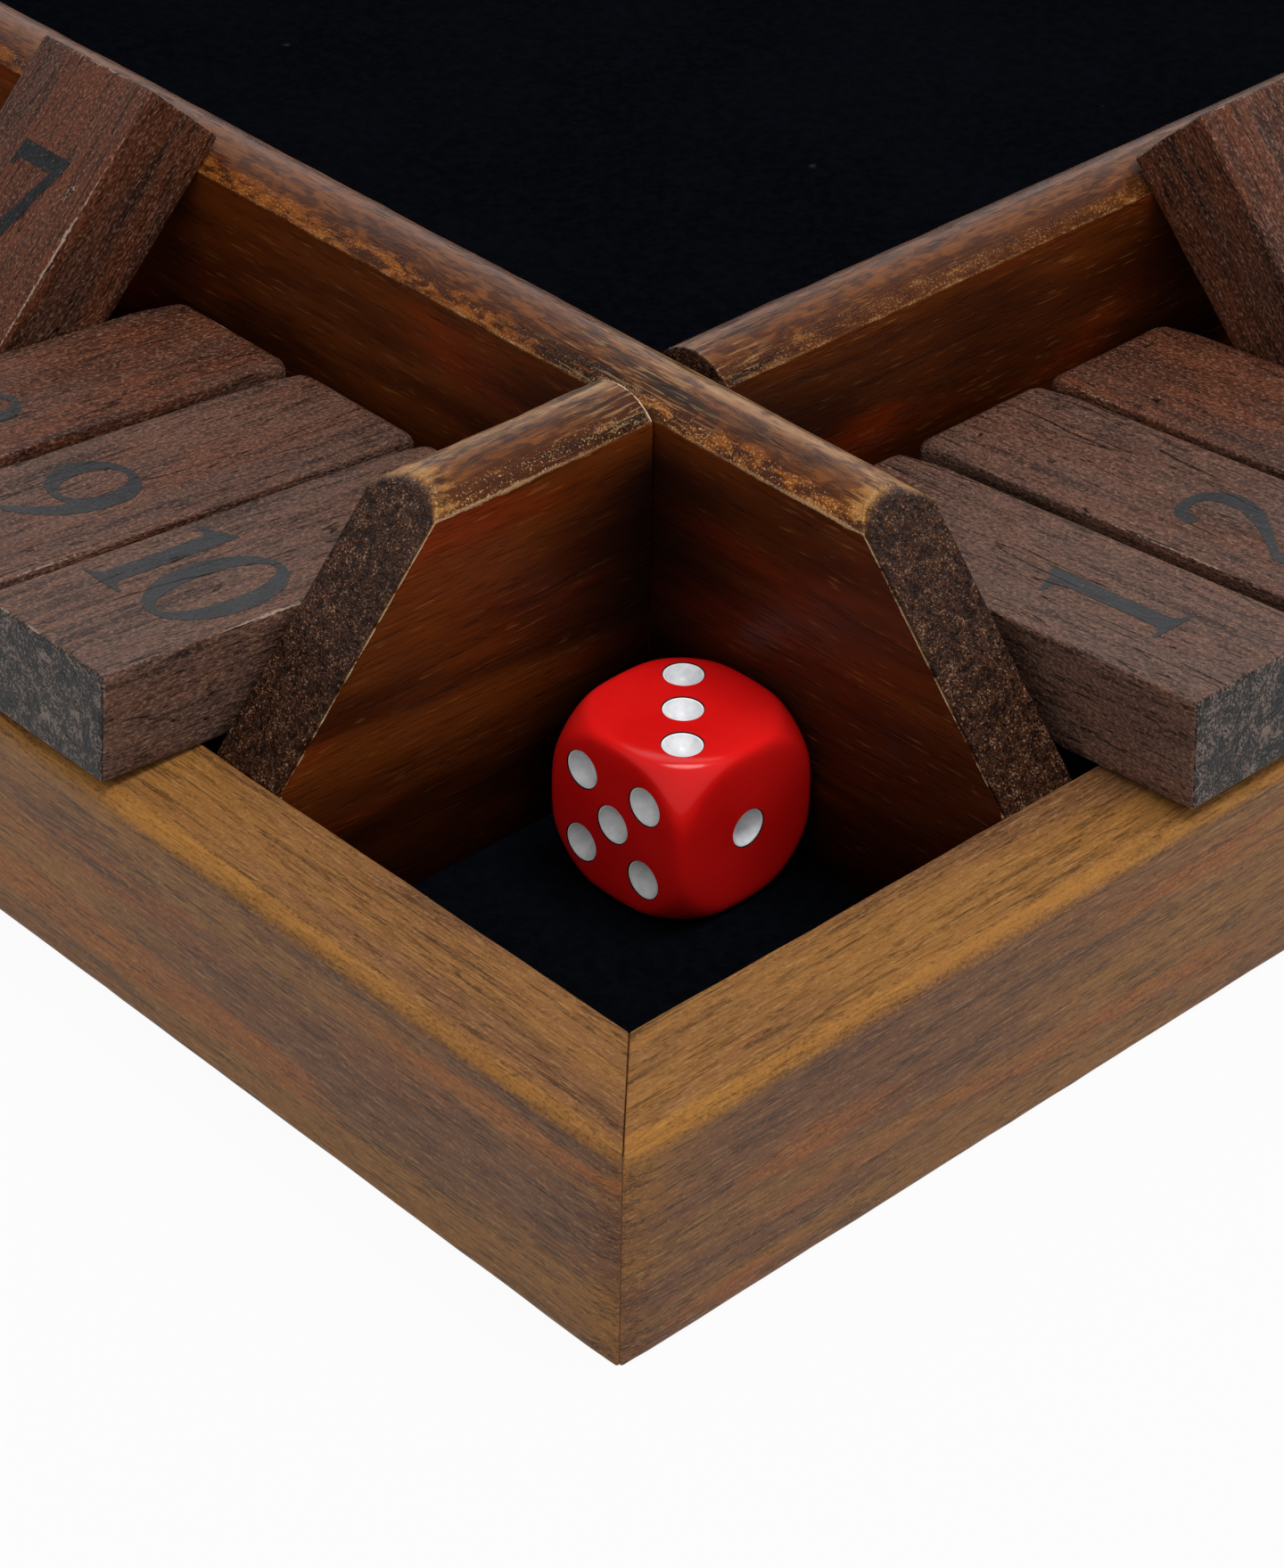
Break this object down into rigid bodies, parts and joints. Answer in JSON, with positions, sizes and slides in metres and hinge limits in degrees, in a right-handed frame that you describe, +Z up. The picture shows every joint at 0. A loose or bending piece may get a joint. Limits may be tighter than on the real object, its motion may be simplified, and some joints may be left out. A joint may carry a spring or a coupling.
{
  "type": "shut the box game",
  "caption": "Square wooden dice game tray for four players, with hinged number tiles along each side, crossed dividers, a felt rolling field and corner dice compartments.",
  "frame": {"origin": "centre of the tray, on the surface that it stands on", "axes": "+Z up; +X and +Y along the rails. A player at the -Y side, who looks along +Y, reads the front row from 1 at -X to 10 at +X"},
  "size_m": [0.3, 0.3, 0.0493],
  "materials": {
    "rail_wood": "satin golden brown stain",
    "divider_wood": "glossy lacquered red brown stain",
    "tile_wood": "matte grey brown stain",
    "panel_wood": "bare plywood",
    "felt": "black felt",
    "rod_steel": "plain drawn steel",
    "die_plastic": "polished red with white pips"
  },
  "bodies": {
    "tray": {"base_panel": "panel_wood", "felt": "felt", "rail_front": "rail_wood", "rail_left": "rail_wood", "rail_back": "rail_wood", "rail_right": "rail_wood", "divider_front": "divider_wood", "divider_left": "divider_wood", "divider_back": "divider_wood", "divider_right": "divider_wood", "rod_front": "rod_steel", "rod_left": "rod_steel", "rod_back": "rod_steel", "rod_right": "rod_steel"},
    "tile_front_1": {"tile_front_1": "tile_wood"},
    "tile_front_2": {"tile_front_2": "tile_wood"},
    "tile_front_3": {"tile_front_3": "tile_wood"},
    "tile_front_4": {"tile_front_4": "tile_wood"},
    "tile_front_5": {"tile_front_5": "tile_wood"},
    "tile_front_6": {"tile_front_6": "tile_wood"},
    "tile_front_7": {"tile_front_7": "tile_wood"},
    "tile_front_8": {"tile_front_8": "tile_wood"},
    "tile_front_9": {"tile_front_9": "tile_wood"},
    "tile_front_10": {"tile_front_10": "tile_wood"},
    "tile_left_1": {"tile_left_1": "tile_wood"},
    "tile_left_2": {"tile_left_2": "tile_wood"},
    "tile_left_3": {"tile_left_3": "tile_wood"},
    "tile_left_4": {"tile_left_4": "tile_wood"},
    "tile_left_5": {"tile_left_5": "tile_wood"},
    "tile_left_6": {"tile_left_6": "tile_wood"},
    "tile_left_7": {"tile_left_7": "tile_wood"},
    "tile_left_8": {"tile_left_8": "tile_wood"},
    "tile_left_9": {"tile_left_9": "tile_wood"},
    "tile_left_10": {"tile_left_10": "tile_wood"},
    "tile_back_1": {"tile_back_1": "tile_wood"},
    "tile_back_2": {"tile_back_2": "tile_wood"},
    "tile_back_3": {"tile_back_3": "tile_wood"},
    "tile_back_4": {"tile_back_4": "tile_wood"},
    "tile_back_5": {"tile_back_5": "tile_wood"},
    "tile_back_6": {"tile_back_6": "tile_wood"},
    "tile_back_7": {"tile_back_7": "tile_wood"},
    "tile_back_8": {"tile_back_8": "tile_wood"},
    "tile_back_9": {"tile_back_9": "tile_wood"},
    "tile_back_10": {"tile_back_10": "tile_wood"},
    "tile_right_1": {"tile_right_1": "tile_wood"},
    "tile_right_2": {"tile_right_2": "tile_wood"},
    "tile_right_3": {"tile_right_3": "tile_wood"},
    "tile_right_4": {"tile_right_4": "tile_wood"},
    "tile_right_5": {"tile_right_5": "tile_wood"},
    "tile_right_6": {"tile_right_6": "tile_wood"},
    "tile_right_7": {"tile_right_7": "tile_wood"},
    "tile_right_8": {"tile_right_8": "tile_wood"},
    "tile_right_9": {"tile_right_9": "tile_wood"},
    "tile_right_10": {"tile_right_10": "tile_wood"},
    "die_1": {"die_1": "die_plastic"},
    "die_2": {"die_2": "die_plastic"}
  },
  "joints": [
    {"name": "tile_front_1_hinge", "type": "hinge", "parent": "tray", "child": "tile_front_1", "pos_m": [-0.07945, -0.12, 0.0245], "axis": [-1, 0, 0], "range_deg": [0, 129.3]},
    {"name": "tile_front_2_hinge", "type": "hinge", "parent": "tray", "child": "tile_front_2", "pos_m": [-0.06155, -0.12, 0.0245], "axis": [-1, 0, 0], "range_deg": [0, 129.3]},
    {"name": "tile_front_3_hinge", "type": "hinge", "parent": "tray", "child": "tile_front_3", "pos_m": [-0.04435, -0.12, 0.0245], "axis": [-1, 0, 0], "range_deg": [0, 129.3]},
    {"name": "tile_front_4_hinge", "type": "hinge", "parent": "tray", "child": "tile_front_4", "pos_m": [-0.02775, -0.12, 0.0245], "axis": [-1, 0, 0], "range_deg": [-129.3, 0]},
    {"name": "tile_front_5_hinge", "type": "hinge", "parent": "tray", "child": "tile_front_5", "pos_m": [-0.00975, -0.12, 0.0245], "axis": [-1, 0, 0], "range_deg": [0, 129.3]},
    {"name": "tile_front_6_hinge", "type": "hinge", "parent": "tray", "child": "tile_front_6", "pos_m": [0.00805, -0.12, 0.0245], "axis": [-1, 0, 0], "range_deg": [0, 129.3]},
    {"name": "tile_front_7_hinge", "type": "hinge", "parent": "tray", "child": "tile_front_7", "pos_m": [0.02625, -0.12, 0.0245], "axis": [-1, 0, 0], "range_deg": [0, 129.3]},
    {"name": "tile_front_8_hinge", "type": "hinge", "parent": "tray", "child": "tile_front_8", "pos_m": [0.04415, -0.12, 0.0245], "axis": [-1, 0, 0], "range_deg": [0, 129.3]},
    {"name": "tile_front_9_hinge", "type": "hinge", "parent": "tray", "child": "tile_front_9", "pos_m": [0.06225, -0.12, 0.0245], "axis": [-1, 0, 0], "range_deg": [0, 129.3]},
    {"name": "tile_front_10_hinge", "type": "hinge", "parent": "tray", "child": "tile_front_10", "pos_m": [0.07995, -0.12, 0.0245], "axis": [-1, 0, 0], "range_deg": [0, 129.3]},
    {"name": "tile_left_1_hinge", "type": "hinge", "parent": "tray", "child": "tile_left_1", "pos_m": [-0.12, 0.07975, 0.0245], "axis": [0, 1, 0], "range_deg": [0, 129.3]},
    {"name": "tile_left_2_hinge", "type": "hinge", "parent": "tray", "child": "tile_left_2", "pos_m": [-0.12, 0.06175, 0.0245], "axis": [0, 1, 0], "range_deg": [0, 129.3]},
    {"name": "tile_left_3_hinge", "type": "hinge", "parent": "tray", "child": "tile_left_3", "pos_m": [-0.12, 0.04325, 0.0245], "axis": [0, 1, 0], "range_deg": [0, 129.3]},
    {"name": "tile_left_4_hinge", "type": "hinge", "parent": "tray", "child": "tile_left_4", "pos_m": [-0.12, 0.02545, 0.0245], "axis": [0, 1, 0], "range_deg": [0, 129.3]},
    {"name": "tile_left_5_hinge", "type": "hinge", "parent": "tray", "child": "tile_left_5", "pos_m": [-0.12, 0.00715, 0.0245], "axis": [0, 1, 0], "range_deg": [0, 129.3]},
    {"name": "tile_left_6_hinge", "type": "hinge", "parent": "tray", "child": "tile_left_6", "pos_m": [-0.12, -0.01095, 0.0245], "axis": [0, 1, 0], "range_deg": [0, 129.3]},
    {"name": "tile_left_7_hinge", "type": "hinge", "parent": "tray", "child": "tile_left_7", "pos_m": [-0.12, -0.02935, 0.0245], "axis": [0, 1, 0], "range_deg": [-129.3, 0]},
    {"name": "tile_left_8_hinge", "type": "hinge", "parent": "tray", "child": "tile_left_8", "pos_m": [-0.12, -0.04595, 0.0245], "axis": [0, 1, 0], "range_deg": [0, 129.3]},
    {"name": "tile_left_9_hinge", "type": "hinge", "parent": "tray", "child": "tile_left_9", "pos_m": [-0.12, -0.06375, 0.0245], "axis": [0, 1, 0], "range_deg": [0, 129.3]},
    {"name": "tile_left_10_hinge", "type": "hinge", "parent": "tray", "child": "tile_left_10", "pos_m": [-0.12, -0.08075, 0.0245], "axis": [0, 1, 0], "range_deg": [0, 129.3]},
    {"name": "tile_back_1_hinge", "type": "hinge", "parent": "tray", "child": "tile_back_1", "pos_m": [0.08055, 0.12, 0.0245], "axis": [1, 0, 0], "range_deg": [0, 129.3]},
    {"name": "tile_back_2_hinge", "type": "hinge", "parent": "tray", "child": "tile_back_2", "pos_m": [0.06245, 0.12, 0.0245], "axis": [1, 0, 0], "range_deg": [0, 129.3]},
    {"name": "tile_back_3_hinge", "type": "hinge", "parent": "tray", "child": "tile_back_3", "pos_m": [0.04475, 0.12, 0.0245], "axis": [1, 0, 0], "range_deg": [0, 129.3]},
    {"name": "tile_back_4_hinge", "type": "hinge", "parent": "tray", "child": "tile_back_4", "pos_m": [0.02655, 0.12, 0.0245], "axis": [1, 0, 0], "range_deg": [0, 129.3]},
    {"name": "tile_back_5_hinge", "type": "hinge", "parent": "tray", "child": "tile_back_5", "pos_m": [0.00865, 0.12, 0.0245], "axis": [1, 0, 0], "range_deg": [0, 129.3]},
    {"name": "tile_back_6_hinge", "type": "hinge", "parent": "tray", "child": "tile_back_6", "pos_m": [-0.00885, 0.12, 0.0245], "axis": [1, 0, 0], "range_deg": [0, 129.3]},
    {"name": "tile_back_7_hinge", "type": "hinge", "parent": "tray", "child": "tile_back_7", "pos_m": [-0.02715, 0.12, 0.0245], "axis": [1, 0, 0], "range_deg": [0, 129.3]},
    {"name": "tile_back_8_hinge", "type": "hinge", "parent": "tray", "child": "tile_back_8", "pos_m": [-0.04495, 0.12, 0.0245], "axis": [1, 0, 0], "range_deg": [0, 129.3]},
    {"name": "tile_back_9_hinge", "type": "hinge", "parent": "tray", "child": "tile_back_9", "pos_m": [-0.06255, 0.12, 0.0245], "axis": [1, 0, 0], "range_deg": [0, 129.3]},
    {"name": "tile_back_10_hinge", "type": "hinge", "parent": "tray", "child": "tile_back_10", "pos_m": [-0.08055, 0.12, 0.0245], "axis": [1, 0, 0], "range_deg": [0, 129.3]},
    {"name": "tile_right_1_hinge", "type": "hinge", "parent": "tray", "child": "tile_right_1", "pos_m": [0.12, -0.08005, 0.0245], "axis": [0, -1, 0], "range_deg": [0, 129.3]},
    {"name": "tile_right_2_hinge", "type": "hinge", "parent": "tray", "child": "tile_right_2", "pos_m": [0.12, -0.06255, 0.0245], "axis": [0, -1, 0], "range_deg": [0, 129.3]},
    {"name": "tile_right_3_hinge", "type": "hinge", "parent": "tray", "child": "tile_right_3", "pos_m": [0.12, -0.04455, 0.0245], "axis": [0, -1, 0], "range_deg": [0, 129.3]},
    {"name": "tile_right_4_hinge", "type": "hinge", "parent": "tray", "child": "tile_right_4", "pos_m": [0.12, -0.02675, 0.0245], "axis": [0, -1, 0], "range_deg": [0, 129.3]},
    {"name": "tile_right_5_hinge", "type": "hinge", "parent": "tray", "child": "tile_right_5", "pos_m": [0.12, -0.00855, 0.0245], "axis": [0, -1, 0], "range_deg": [0, 129.3]},
    {"name": "tile_right_6_hinge", "type": "hinge", "parent": "tray", "child": "tile_right_6", "pos_m": [0.12, 0.00905, 0.0245], "axis": [0, -1, 0], "range_deg": [0, 129.3]},
    {"name": "tile_right_7_hinge", "type": "hinge", "parent": "tray", "child": "tile_right_7", "pos_m": [0.12, 0.02695, 0.0245], "axis": [0, -1, 0], "range_deg": [0, 129.3]},
    {"name": "tile_right_8_hinge", "type": "hinge", "parent": "tray", "child": "tile_right_8", "pos_m": [0.12, 0.04505, 0.0245], "axis": [0, -1, 0], "range_deg": [0, 129.3]},
    {"name": "tile_right_9_hinge", "type": "hinge", "parent": "tray", "child": "tile_right_9", "pos_m": [0.12, 0.06245, 0.0245], "axis": [0, -1, 0], "range_deg": [0, 129.3]},
    {"name": "tile_right_10_hinge", "type": "hinge", "parent": "tray", "child": "tile_right_10", "pos_m": [0.12, 0.08015, 0.0245], "axis": [0, -1, 0], "range_deg": [0, 129.3]},
    {"name": "die_1_lift", "type": "slide", "parent": "tray", "child": "die_1", "axis": [0, 0, 1], "range_m": [0, 0.06]},
    {"name": "die_2_lift", "type": "slide", "parent": "tray", "child": "die_2", "axis": [0, 0, 1], "range_m": [0, 0.06]}
  ]
}
